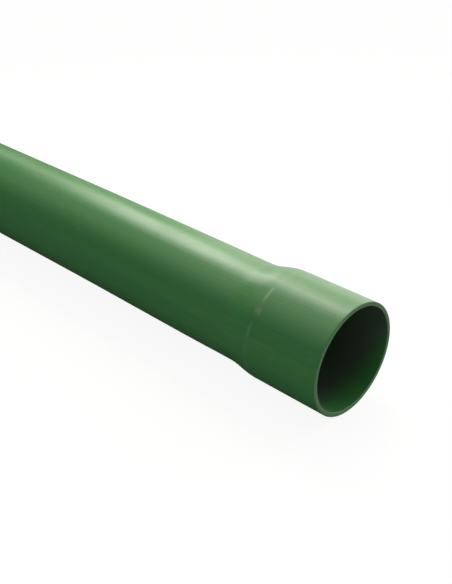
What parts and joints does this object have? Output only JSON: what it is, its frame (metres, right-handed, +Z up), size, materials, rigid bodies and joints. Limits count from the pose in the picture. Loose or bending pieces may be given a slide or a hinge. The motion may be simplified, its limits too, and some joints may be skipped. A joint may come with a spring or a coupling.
{
  "type": "plastic electrical conduit",
  "caption": "Rigid plastic electrical conduit pipe with a plain spigot at one end and a formed socket with a smooth shoulder at the other.",
  "frame": {"origin": "on the floor, under the middle of the conduit's length", "axes": "+X along the conduit, out of the socket's mouth; +Z up; +Y across"},
  "size_m": [3, 0.066, 0.0661],
  "materials": {
    "green_pvc": "satin"
  },
  "bodies": {
    "root": {"conduit_pipe": "green_pvc"}
  },
  "joints": []
}
